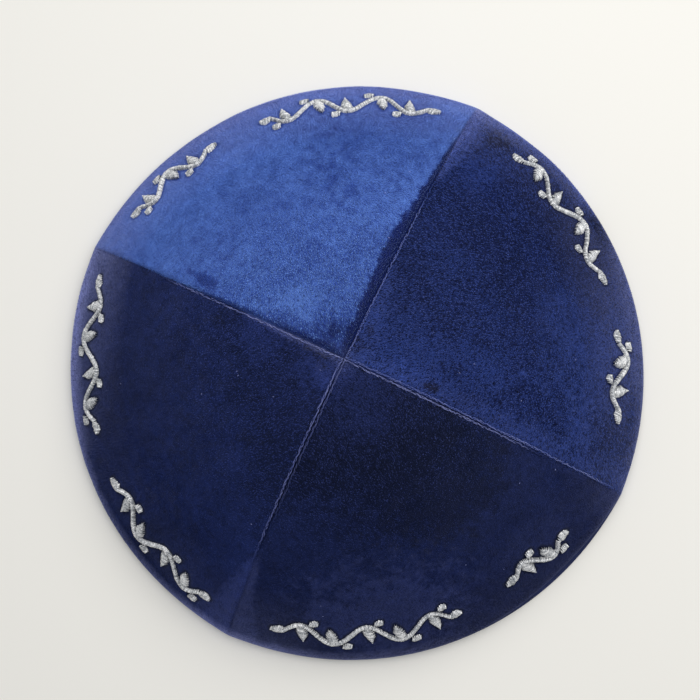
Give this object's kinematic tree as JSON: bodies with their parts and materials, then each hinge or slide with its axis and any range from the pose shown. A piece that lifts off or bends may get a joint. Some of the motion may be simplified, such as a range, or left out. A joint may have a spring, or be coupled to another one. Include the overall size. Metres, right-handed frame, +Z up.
{
  "type": "kippah skullcap",
  "caption": "Kippah skullcap of blue velvet: a shallow round dome sewn from matching gores, hollow and open below, with a turned-under hem at the rim.",
  "frame": {"origin": "middle of the rim, on the surface that the cap lies on", "axes": "+Z up through the crown; the seams lie along +X, +Y, -X and -Y"},
  "size_m": [0.1816, 0.1819, 0.052],
  "materials": {
    "blue_velvet": "short-pile velvet whose nap runs down each gore, lighter or darker with the light",
    "silver_thread": "satin-stitched metallic embroidery thread, in the visual model only"
  },
  "bodies": {
    "root": {"gore_back_right": "blue_velvet", "gore_back_left": "blue_velvet", "gore_front_left": "blue_velvet", "gore_front_right": "blue_velvet"}
  },
  "joints": []
}
